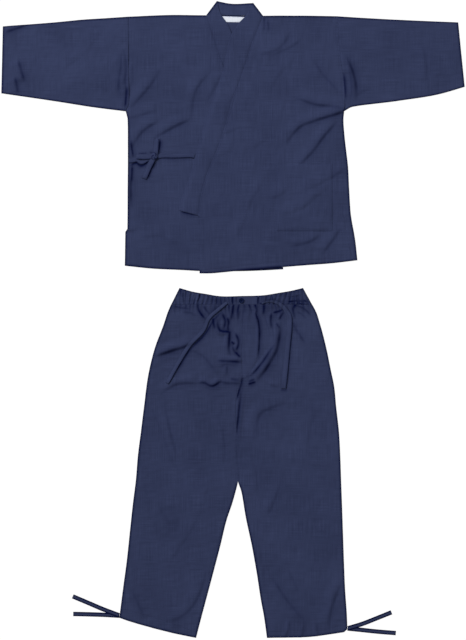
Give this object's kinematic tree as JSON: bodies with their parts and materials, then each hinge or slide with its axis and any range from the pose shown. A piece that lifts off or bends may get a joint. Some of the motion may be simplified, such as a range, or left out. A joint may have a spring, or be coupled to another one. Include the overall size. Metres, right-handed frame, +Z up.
{
  "type": "samue",
  "caption": "Japanese samue work suit of navy cotton laid flat: a wrapped, tied jacket with a patch pocket above drawstring trousers with hem ties.",
  "frame": {"origin": "on the surface the suit lies on, in the middle of its plan", "axes": "+X across the suit towards the wearer's left, +Y from the trouser hems to the collar, +Z up from the surface"},
  "size_m": [1.352, 1.858, 0.0123],
  "materials": {
    "cotton": "matte navy plain-woven cotton with a slight slub",
    "label": "blank white woven label",
    "button": "dark navy four-hole button, satin"
  },
  "bodies": {
    "root": {"jacket_back": "cotton", "jacket_front_right": "cotton", "jacket_front_left": "cotton", "sleeve_right": "cotton", "sleeve_left": "cotton", "collar": "cotton", "patch_pocket": "cotton", "neck_label": "label", "front_tie": "cotton", "side_tie": "cotton", "tie_bow": "cotton", "trouser_back_right": "cotton", "trouser_front_right": "cotton", "trouser_back_left": "cotton", "trouser_front_left": "cotton", "waistband": "cotton", "waist_button": "button", "drawstring_right": "cotton", "drawstring_left": "cotton", "hem_tie_right_lower": "cotton", "hem_tie_right_upper": "cotton", "hem_tie_left_lower": "cotton", "hem_tie_left_upper": "cotton"}
  },
  "joints": []
}
